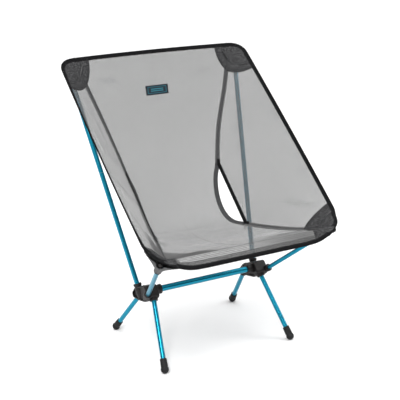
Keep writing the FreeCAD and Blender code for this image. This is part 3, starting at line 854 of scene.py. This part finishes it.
# %% [markdown]
# ## Seam tape and vent straps
# Woven tape covers the seam between the panel and each wing, and goes on round the panel's
# free edge in the vent. A narrower strap binds the wing's own edge across the vent. Both are
# tacked where they meet, at the vent's two ends.

# %% Tapes
TAPE = 11 * MM
TAPE_THICKNESS = 1.5 * MM
STRAP = 8.5 * MM


def band(line, across, normals, width, crown=0.0, columns=7):
    """A grid across a line, a little domed."""
    places = np.linspace(-0.5, 0.5, columns)[None, :, None]
    grid = line[:, None] + across[:, None] * (places * width)
    return grid + normals[:, None] * (crown * (1 - (2 * places) ** 2))


seam_tangents = units(np.gradient(seam, axis=0))
seam_normals = panel_normals[:, -1].copy()
seam_normals[:first] = units(panel_normals[:first, -1] + wing_normals[:first, 0])
seam_normals[last:] = units(panel_normals[last:, -1] + wing_normals[last:, 0])
seam_normals = units(smooth_rows(seam_normals, 10))
seam_across = units(np.cross(seam_normals, seam_tangents))
seam_across *= np.sign(seam_across[:, :1])
in_vent = np.zeros(ROWS + 1)
in_vent[first + 4:last - 3] = 1
in_vent = smooth_rows(in_vent, 12)[:, None]
tape_line = seam - seam_across * (in_vent * TAPE * 0.42)
seam_band = band(tape_line, seam_across, seam_normals, TAPE)
strap_span = slice(first - 2, last + 3)
strap_line = wing[strap_span, 0] + units(wing[strap_span, 1] - wing[strap_span, 0]) * (STRAP * 0.4)
strap_normals = wing_normals[strap_span, 0]
strap_across = units(np.cross(strap_normals, units(np.gradient(strap_line, axis=0))))
strap_across *= np.sign(strap_across[:, :1])
strap_band = band(strap_line, strap_across, strap_normals, STRAP)
strap_split = wing_split - strap_span.start
strap_parts = {"top": slice(0, strap_split + 1), "front": slice(strap_split, None)}

for side_name in SIDES:
    for part, rows in panel_parts.items():
        cut = seam_band[rows]
        piece = quarter("seam_tape_strip", part, side_name, cut, np.repeat(seam_normals[rows, None], 7, 1),
                        grid_uv(cut), TAPE_THICKNESS, seam_cloth)
        if part == "top":
            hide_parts("seam_tape_" + side_name)
    for part, rows in strap_parts.items():
        cut = strap_band[rows]
        piece = quarter("vent_strap", part, side_name, cut, np.repeat(strap_normals[rows, None], 7, 1),
                        grid_uv(cut), TAPE_THICKNESS * 1.2, edge_cloth)
        if part == "top":
            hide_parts("vent_binding_" + side_name)
print("seam tape", len(seam_band), "rows, strap", len(strap_band), "rows")

# %% [markdown]
# ## Reinforced corners
# Each corner of the sling takes the whole pull of a pole, so ripstop is laid on both faces of
# the mesh and sewn down twice along its rounded edge. The patch is cut here from the sling's
# own surface, by planes along a quarter of an ellipse, so it lies on every curve of it. The left
# front patch is drawn smaller than the right one.

# %% A corner and its curve
class Corner:
    """A corner of the sling, with skew axes along its two edges."""

    def __init__(self, part, centre, along_end, along_side, fullness):
        self.part, self.fullness = part, fullness
        self.centre = np.array(centre) * MM
        self.axes = np.array([along_end, along_side]) * MM - self.centre
        self.normal = units(np.cross(self.axes[0], self.axes[1]))
        self.dual = np.linalg.pinv(self.axes).T

    def point(self, share, angle):
        """Point at share of the way from the corner to its rounded edge."""
        first_way, second_way = abs(math.cos(angle)) ** self.fullness, abs(math.sin(angle)) ** self.fullness
        return self.centre + (self.axes[0] * first_way + self.axes[1] * second_way) * share

    def tangent_plane(self, share, angle):
        """A plane that touches the rounded edge."""
        power = 2 - self.fullness
        first_way, second_way = abs(math.cos(angle)) ** power, abs(math.sin(angle)) ** power
        return self.point(share, angle), units(self.dual[0] * first_way + self.dual[1] * second_way)


def base_mesh():
    """The right-hand half of the sling as one surface."""
    work = bmesh.new()
    for grid in (panel[:, half:], wing, half_lip):
        rows, columns = grid.shape[:2]
        verts = [work.verts.new(p) for p in grid.reshape(-1, 3)]
        for i in range(rows - 1):
            for j in range(columns - 1):
                a = i * columns + j
                work.faces.new([verts[k] for k in (a, a + 1, a + columns + 1, a + columns)])
    bmesh.ops.remove_doubles(work, verts=work.verts, dist=0.00001)
    bmesh.ops.recalc_face_normals(work, faces=work.faces)
    work.faces.ensure_lookup_table()
    if work.faces[0].normal.y < 0:
        bmesh.ops.reverse_faces(work, faces=work.faces)
    work.normal_update()
    return work


sling_mesh = base_mesh()
sling_tree = BVHTree.FromBMesh(sling_mesh)
TOP_CORNER = Corner("top", (242.5, 222.2, 640), (166, 225.5, 640), (243.2, 158, 590), 0.85)
FRONT_CORNER = Corner("front", (240, -226, 290), (154, -235, 278.6), (241.3, -158, 331), 0.62)
CORNERS = {"top": TOP_CORNER, "front": FRONT_CORNER}
LEFT_FRONT_CORNER = Corner("front", (240, -226, 290), (184, -233, 285.5), (241.3, -172, 322), 0.9)
print("base faces", len(sling_mesh.faces), "corners", list(CORNERS))

# %% Patches
PATCH_CUTS = 18
PATCH_THICKNESS = 1.9 * MM
CORNER_SEARCH = 0.08  # metres from a corner's flat triangle to the curved sling


def onto_sling(point, direction):
    """Where a line through point meets the sling, with the underside's normal there, or None."""
    best = None
    for sign in (1, -1):
        place, normal, _, away = sling_tree.ray_cast(Vector(point), Vector(direction) * sign, CORNER_SEARCH)
        if place is not None and (best is None or away < best[2]):
            best = (np.array(place), np.array(normal), away)
    return best


def cut_from_sling(corner, share):
    """A copy of the sling's surface within the corner's ellipse."""
    work = sling_mesh.copy()
    far = [v for v in work.verts if np.linalg.norm(np.array(v.co) - corner.centre) > 0.16]
    bmesh.ops.delete(work, geom=far, context="VERTS")
    for angle in np.linspace(0.0, math.pi / 2, PATCH_CUTS):
        place, normal = corner.tangent_plane(share, angle)
        everything = work.verts[:] + work.edges[:] + work.faces[:]
        bmesh.ops.bisect_plane(work, geom=everything, plane_co=place, plane_no=normal, clear_outer=True)
    work.normal_update()
    return work


def thickened(name, work, thickness, corner, side, material):
    """The cut surface as a closed piece, thickness through, on its own side."""
    work.verts.index_update()
    co = np.array([v.co for v in work.verts])
    normals = np.array([v.normal for v in work.verts])
    count = len(co)
    faces = []
    for face in work.faces:
        loop = [v.index for v in face.verts]
        faces.append(tuple(loop))
        faces.append(tuple(k + count for k in reversed(loop)))
        for corner_loop in face.loops:
            if corner_loop.edge.is_boundary:
                a, b = corner_loop.vert.index, corner_loop.link_loop_next.vert.index
                faces.append((b, a, a + count, b + count))
    points = np.concatenate([co + normals * thickness / 2, co - normals * thickness / 2]) * (side, 1, 1)
    flat = (np.concatenate([co, co]) - corner.centre) @ units(corner.axes).T
    piece = make_piece(name, points, faces, flat, material)
    if side < 0:
        piece.data.flip_normals()
    return piece


for part in CORNERS:
    for side_name, side in SIDES.items():
        corner = LEFT_FRONT_CORNER if (part, side) == ("front", -1) else CORNERS[part]
        body = corner.part + "_corner_" + side_name
        cut = cut_from_sling(corner, 1.0)
        piece = thickened(body + "_cloth", cut, PATCH_THICKNESS, corner, side, corner_cloth)
        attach(piece, body)
        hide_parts(body.replace("corner_", "corner_patch_"))
        span = [float(np.linalg.norm(axis)) for axis in corner.axes]
print("patches", 4)

# %% [markdown]
# ## Corner pockets
# The tip of each pole sits in a pocket on the underside. It is a small cone of doubled cloth:
# its wide end is sewn to the patch round a rounded triangle, and its narrow end, where the pole
# goes in, is bound with a turned-in band. The cloth is pulled hollow between the two.

# %% Pocket shapes
POLE_ENDS = {
    "top": ((219.4, 217.81, 615.02), (0.12649, 0.392, 0.91123), 40.0, 8.0),
    "front": ((214.2, -205.81, 288.84), (0.24638, -0.74159, 0.62397), 34.0, 7.6),
}
POCKET_SHARES = {"top": 0.80, "front": 0.70}
POCKET_INSETS = {"top": 0.10, "front": 0.05}
POCKET_AROUND, POCKET_ROWS = 56, 14
POCKET_ROOM, POCKET_NOSE = 1.2, 6.0  # millimetres round and past a tip that no patch covers
POCKET_ANGLE = 0.16  # radians within which a sewn point holds a ring


def footprint(corner, share):
    """The rounded triangle where a pocket is sewn down, on the sling's underside."""
    inset, turns = POCKET_INSETS[corner.part], np.linspace(0, math.pi / 2, 24)
    arc = [(math.cos(t) * share, math.sin(t) * share) for t in turns]
    arc = [(max(a, inset), max(b, inset)) for a, b in arc]
    sides = [(inset + 0.06, inset + 0.01), (inset, inset + 0.07)]
    loop = [(share - 0.02, inset)] + arc + [(inset, share - 0.02)] + sides[::-1]
    flat = np.array([(a, b, 0.0) for a, b in loop + loop[:1]])
    flat = walk(flat, np.linspace(0, 1, 200)[:-1])
    points = []
    for a, b, _ in flat:
        hit = onto_sling(corner.centre + corner.axes[0] * a + corner.axes[1] * b, corner.normal)
        if hit is not None:
            points.append(hit[0] + hit[1] * 1.1 * MM)
    return np.array(points)


def pocket_grid(corner):
    """Rings from the pocket's mouth to its footprint.

    A pole's tip lies almost under the sling's edge, so on that side there is nothing to sew the
    sleeve to. There it goes on straight round the tip instead.
    """
    end, out, depth, radius = POLE_ENDS[corner.part]
    out = units(np.array(out))
    mouth = np.array(end) * MM - out * depth * MM
    first_side = units(np.cross(out, (0, 0, 1)))
    second_side = np.cross(out, first_side)
    rel = footprint(corner, POCKET_SHARES[corner.part]) - mouth
    angles = np.arctan2(rel @ second_side, rel @ first_side)
    spokes = np.linalg.norm(rel - (rel @ out)[:, None] * out, axis=1)
    wanted = np.linspace(-math.pi, math.pi, POCKET_AROUND + 1)
    room = (radius + POCKET_ROOM) * MM
    rim = []
    for angle in wanted[:-1]:
        apart = np.abs((angles - angle + math.pi) % (2 * math.pi) - math.pi)
        near = np.flatnonzero((apart < POCKET_ANGLE) & (spokes > room))
        if len(near):
            sewn = near[np.argmax(spokes[near])]
            rim.append((spokes[sewn], rel[sewn] @ out))
        else:
            rim.append((room, (depth + POCKET_NOSE) * MM))
    rim = np.array(rim)
    for _ in range(2):
        rim = (np.roll(rim, 1, 0) + 2 * rim + np.roll(rim, -1, 0)) / 4
    rim = np.append(rim, rim[:1], 0)
    share = np.linspace(0, 1, POCKET_ROWS)[:, None]
    along = rim[:, 1] * share
    spread = radius * MM + (rim[:, 0] - radius * MM) * share**1.25
    spread = np.maximum(spread, (radius - 0.3) * MM * (along < (depth + 11) * MM))
    spoke = np.cos(wanted)[:, None] * first_side + np.sin(wanted)[:, None] * second_side
    circle = mouth + radius * MM * spoke
    return mouth + along[..., None] * out + spread[..., None] * spoke, circle, out


def facing_out(rings, axis_points):
    """The rings, with their columns turned where they face the pole."""
    outward = ((rings - axis_points) * grid_normals(rings)).sum(-1).mean() > 0
    return rings if outward else rings[:, ::-1]


for corner in CORNERS.values():
    grid, circle, out = pocket_grid(corner)
    centre_line = circle.mean(0) + out * np.linspace(0, 0.03, POCKET_ROWS)[:, None, None]
    grid = facing_out(grid, centre_line)
    lip_ring = np.stack([circle + (circle - circle.mean(0)) * 0.05 + out * (k - 1.2) * MM
                         for k in np.linspace(0, 3.2, 4)])
    lip_ring = facing_out(lip_ring, circle.mean(0))
    for side_name, side in SIDES.items():
        body = corner.part + "_corner_" + side_name
        for name, rings, thick, cloth in ((body + "_sleeve", grid, 1.0, sleeve_cloth),
                                          (body + "_sleeve_band", lip_ring, 1.1, edge_cloth)):
            own = mirrored(rings, side)
            piece = shell(name, own, grid_normals(own), grid_uv(own), thick * MM, cloth)
            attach(piece, body)
            if name.endswith("sleeve"):
                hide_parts(body.replace("corner_", "corner_pocket_"))
print("pockets", 4)

# %% [markdown]
# ## Woven label
# A small damask label is sewn flat on the front of the back, near its top.

# %% Label
LABEL_WIDTH, LABEL_HEIGHT, LABEL_Z = 59 * MM, 23 * MM, 549 * MM
label_row = int(np.argmin(np.abs(panel[:, half, 2] - LABEL_Z)))
label_centre = panel[label_row, half]
label_down = units(panel[label_row + 3, half] - panel[label_row - 3, half])
label_out = -units(panel_normals[label_row, half])
label_uv = np.stack(np.meshgrid(np.linspace(-0.5, 0.5, 25) * LABEL_WIDTH,
                                np.linspace(-0.5, 0.5, 11) * LABEL_HEIGHT), axis=-1)
label_grid = label_centre + label_uv[..., :1] * np.array((1, 0, 0)) + label_uv[..., 1:] * label_down
whole_panel = BVHTree.FromPolygons(
    [tuple(p) for p in panel.reshape(-1, 3)],
    [tuple(int(i) for i in (a, a + 1, a + PANEL_COLUMNS + 2, a + PANEL_COLUMNS + 1))
     for r in range(ROWS) for a in range(r * (PANEL_COLUMNS + 1), r * (PANEL_COLUMNS + 1) + PANEL_COLUMNS)])
for i, row in enumerate(label_grid):
    for j, point in enumerate(row):
        label_grid[i, j] = np.array(whole_panel.find_nearest(Vector(point))[0])
label_grid = label_grid + label_out * 0.9 * MM
label = shell("woven_label", label_grid[:, ::-1], np.broadcast_to(label_out, label_grid.shape)[:, ::-1],
              label_uv[:, ::-1], 0.9 * MM, label_cloth)
face_outwards(label)
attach(label, "frame")
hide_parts("back_label")
print("label at", [round(float(v), 3) for v in label_centre])

# %% [markdown]
# ## Stitches
# Every cloth piece here is held by lockstitch, which shows as a row of short thread beads with
# a small gap between them. One node tree lays such beads along any lines: it measures the line
# into even steps, sets a bead on each and lets it wander a little, as a hand-fed seam does.

# %% Stitch tree
def stitch_tree():
    """Node tree that turns edge lines into rows of thread beads."""
    tree = bpy.data.node_groups.new("stitch_rows", "GeometryNodeTree")
    face = tree.interface
    face.new_socket("Geometry", in_out="INPUT", socket_type="NodeSocketGeometry")
    names = {}
    kinds = {"Pitch": "Float", "Length": "Float", "Thickness": "Float", "Wander": "Float",
             "Seed": "Int", "Thread": "Material"}
    for name, kind in kinds.items():
        names[name] = face.new_socket(name, in_out="INPUT", socket_type="NodeSocket" + kind).identifier
    face.new_socket("Geometry", in_out="OUTPUT", socket_type="NodeSocketGeometry")

    def node(kind, settings=None, sockets=None):
        made = tree.nodes.new(kind)
        for key, value in (settings or {}).items():
            setattr(made, key, value)
        for key, value in (sockets or {}).items():
            if isinstance(value, bpy.types.NodeSocket):
                tree.links.new(value, made.inputs[key])
            else:
                made.inputs[key].default_value = value
        return made

    given = node("NodeGroupInput").outputs
    curve = node("GeometryNodeMeshToCurve", None, {"Mesh": given["Geometry"]})
    points = node("GeometryNodeCurveToPoints", {"mode": "LENGTH"},
                  {"Curve": curve.outputs["Curve"], "Length": given["Pitch"]})
    shift = node("FunctionNodeRandomValue", {"data_type": "FLOAT_VECTOR"},
                 {"Min": (-1, -1, -1), "Max": (1, 1, 1), "Seed": given["Seed"]})
    scaled = node("ShaderNodeVectorMath", {"operation": "SCALE"},
                  {0: shift.outputs["Value"], "Scale": given["Wander"]})
    moved = node("GeometryNodeSetPosition", None,
                 {"Geometry": points.outputs["Points"], "Offset": scaled.outputs["Vector"]})
    bead = node("GeometryNodeMeshUVSphere", None, {"Segments": 6, "Rings": 4, "Radius": 0.5})
    size = node("ShaderNodeCombineXYZ", None,
                {0: given["Thickness"], 1: given["Thickness"], 2: given["Length"]})
    rows = node("GeometryNodeInstanceOnPoints", None,
                {"Points": moved.outputs["Geometry"], "Instance": bead.outputs["Mesh"],
                 "Rotation": points.outputs["Rotation"], "Scale": size.outputs["Vector"]})
    real = node("GeometryNodeRealizeInstances", None, {"Geometry": rows.outputs["Instances"]})
    smooth = node("GeometryNodeSetShadeSmooth", None, {"Geometry": real.outputs["Geometry"]})
    painted = node("GeometryNodeSetMaterial", None,
                   {"Geometry": smooth.outputs["Geometry"], "Material": given["Thread"]})
    node("NodeGroupOutput", None, {"Geometry": painted.outputs["Geometry"]})
    return tree, names


STITCHES, STITCH_INPUTS = stitch_tree()


def stitched(name, lines, thread, seed, pitch=3.0, length=2.3, thickness=0.5):
    """Rows of beads along lines, as a plain mesh."""
    mesh = bpy.data.meshes.new(name)
    points, edges = [], []
    for line in lines:
        edges += [(len(points) + i, len(points) + i + 1) for i in range(len(line) - 1)]
        points += [tuple(p) for p in line]
    mesh.from_pydata(points, edges, [])
    piece = bpy.data.objects.new(name, mesh)
    bpy.context.collection.objects.link(piece)
    rows = piece.modifiers.new("stitches", "NODES")
    rows.node_group = STITCHES
    inputs = {"Pitch": pitch * MM, "Length": length * MM, "Thickness": thickness * MM,
              "Wander": 0.08 * MM, "Seed": seed, "Thread": thread}
    for key, value in inputs.items():
        rows[STITCH_INPUTS[key]] = value
    shaped = piece.evaluated_get(bpy.context.evaluated_depsgraph_get())
    piece.data = bpy.data.meshes.new_from_object(shaped)
    piece.modifiers.clear()
    return piece


# %% Seams of each quarter
def both_faces(line, normals, lift):
    """The line on each face of the cloth."""
    return [line + normals * lift * MM, line - normals * lift * MM]


def tack(line, across, normals, row, width):
    """Close rows across a tape at one of its rows, as a bar tack has."""
    lines = []
    for k in np.linspace(-2.2, 2.2, 7):
        ahead = units(line[row + 1] - line[row - 1]) * k * MM
        ends = [line[row] + ahead + across[row] * s * width * MM for s in (-0.5, 0.5)]
        for lift in (0.95, -0.95):
            lines.append(np.array(ends) + normals[row] * lift * MM)
    return lines


def rows_along(line, across, normals, spans, shifts, lift):
    """Rows on both faces of a strip at each shift across it, in millimetres, for each part."""
    return {part: [row for shift in shifts
                   for row in both_faces(line[span] + across[span] * shift * MM, normals[span], lift)]
            for part, span in spans.items()}


edge_rows = rows_along(outline, outline_inward, outline_normals, outline_parts, (6.6,), 1.36)
tape_rows = rows_along(tape_line, seam_across, seam_normals, panel_parts, (-4.2, 4.2), 0.92)
strap_rows = rows_along(strap_line, strap_across, strap_normals, strap_parts, (-3.0, 3.0), 1.05)
tack_rows = {"top": tack(tape_line, seam_across, seam_normals, first, 9),
             "front": tack(tape_line, seam_across, seam_normals, last, 9)}
hem_lines = [line for row in (5, LIP_ROWS - 4)
             for line in both_faces(half_lip[row, :-4], lip_normals[row, :-4], 0.75)]
for k, (side_name, side) in enumerate(SIDES.items()):
    for part in outline_parts:
        flip = (side, 1, 1)
        black = [line * flip for line in edge_rows[part] + strap_rows[part]]
        grey = [line * flip for line in tape_rows[part]]
        if part == "front":
            grey += [line * flip for line in hem_lines]
        for kind, lines, thread in (("edge", black, dark_thread), ("seam", grey, grey_thread)):
            piece = stitched(f"{kind}_stitches_{part}_{side_name}", lines, thread, 7 + k)
            soft(piece)
        piece = stitched(f"bar_tack_{part}_{side_name}", [line * flip for line in tack_rows[part]],
                         dark_thread, 11, pitch=1.0, length=1.0, thickness=0.6)
        soft(piece)
print("seams sewn")

# %% Seams of each corner
PATCH_LIFTS = (1.05, -1.05)


def corner_row(corner, places, lift):
    """A row on one face of the patch, through places given as share and angle."""
    hits = [onto_sling(corner.point(share, angle), corner.normal) for share, angle in places]
    return np.array([hit[0] + hit[1] * lift * MM for hit in hits if hit is not None])


def corner_arc(corner, share, lift):
    """A row along the corner's ellipse."""
    return corner_row(corner, [(share, angle) for angle in np.linspace(0.02, math.pi / 2 - 0.02, 60)], lift)


def corner_spoke(corner, lift):
    """A row from the corner towards the middle of its rounded edge."""
    return corner_row(corner, [(share, math.pi / 4) for share in np.linspace(0.2, 0.9, 40)], lift)


for part, side_name in ((p, s) for p in CORNERS for s in SIDES):
    side = SIDES[side_name]
    corner = LEFT_FRONT_CORNER if (part, side) == ("front", -1) else CORNERS[part]
    shares = (0.965, 0.925, POCKET_SHARES[corner.part] - 0.03)
    lines = [corner_arc(corner, share, lift) for share in shares for lift in PATCH_LIFTS]
    lines += [corner_spoke(CORNERS[part], lift) for lift in PATCH_LIFTS]
    rim = pocket_grid(CORNERS[part])[0][-1]
    lines.append(rim + units(rim - CORNERS[part].centre) * 0.3 * MM)
    body = part + "_corner_" + side_name
    piece = stitched(body + "_stitches", [line * (side, 1, 1) for line in lines], dark_thread, 5,
                     length=2.7, thickness=1.15)
    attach(piece, body)

inset = label_uv[1:-1, 1:-1]
frame_lines = [label_grid[1, 1:-1], label_grid[-2, 1:-1], label_grid[1:-1, 1], label_grid[1:-1, -2]]
piece = stitched("label_stitches", [line + label_out * 0.5 * MM for line in frame_lines], dark_thread, 3,
                 pitch=2.2, length=1.7, thickness=0.4)
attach(piece, "frame")
print("corners sewn")

# %% [markdown]
# ## Elastic cords
# One elastic cord runs through each tube and is anchored in the hub, so the frame stays in one
# piece when a tube is pulled out. It shows only then, between the hub and the tube's end.

# %% Cords at the tube roots
TUBE_ROOTS = {
    "front_leg": ((138.6, -20.7, 154.9), (0.147815, -0.590720, -0.793222)),
    "rear_leg": ((137.3, 20.5, 136.1), (0.155513, 0.615396, -0.772725)),
    "front_pole": ((153.1, -21.9, 134.1), (0.246381, -0.741593, 0.623968)),
    "back_pole": ((151.7, 8.0, 127.3), (0.126487, 0.391998, 0.911229)),
}
turn = np.linspace(0, 2 * math.pi, 11)[:-1]
CORD_SECTION = np.stack([np.cos(turn), np.sin(turn)], axis=-1) * 1.35 * MM
for tube, (root, out) in TUBE_ROOTS.items():
    for side_name, side in SIDES.items():
        start, along = np.array(root) * MM * (side, 1, 1), units(np.array(out) * (side, 1, 1))
        line = start + along * np.linspace(-5, 17, 23)[:, None] * MM
        first_side = units(np.cross(along, (0, 0, 1.0)))
        inward = np.repeat(first_side[None], len(line), 0)
        normals = np.repeat(np.cross(along, first_side)[None], len(line), 0)
        piece = swept(f"{tube}_elastic_{side_name}", line, inward, normals, CORD_SECTION, shock_cord)
        face_outwards(piece)
        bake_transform(piece)
        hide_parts(f"{tube}_cord_{side_name}")
print("cords", 8)

# %% [markdown]
# ## Last steps
# The stiff CAD parts take their finishes, each by the kind of part that it is.

# %% Finishes for the CAD parts
def tube_axis(name):
    """Direction of a tube's long side from its mesh."""
    points = np.array([v.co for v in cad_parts[name].data.vertices])
    return np.linalg.svd(points - points.mean(0), full_matrices=False)[2][0]


def finish_of(name):
    """The material of a CAD part by its kind."""
    if name.startswith("hub") or "_tip" in name or "_plug" in name:
        return hub_plastic
    if "_foot" in name:
        return foot_rubber
    if "cord" in name:
        return shock_cord
    if "ferrule" in name:
        return ferrule_metal
    return anodised("anodised_" + name, tube_axis(name))


ferrule_metal = bare_metal()
for name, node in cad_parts.items():
    if not node.hide_render:
        node.data.materials.clear()
        node.data.materials.append(finish_of(name))
print("CAD parts shown", sum(not node.hide_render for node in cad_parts.values()))

# %% Floor finish
white_floor = Finish("white_floor", roughness=0.9)
speckle = white_floor.noise(white_floor.place(), 0.4, detail=2.0)
white_floor.feed("Base Color", white_floor.blend(speckle, (0.9, 0.9, 0.9), (0.93, 0.93, 0.93)))
floor.data.materials.append(white_floor.material)
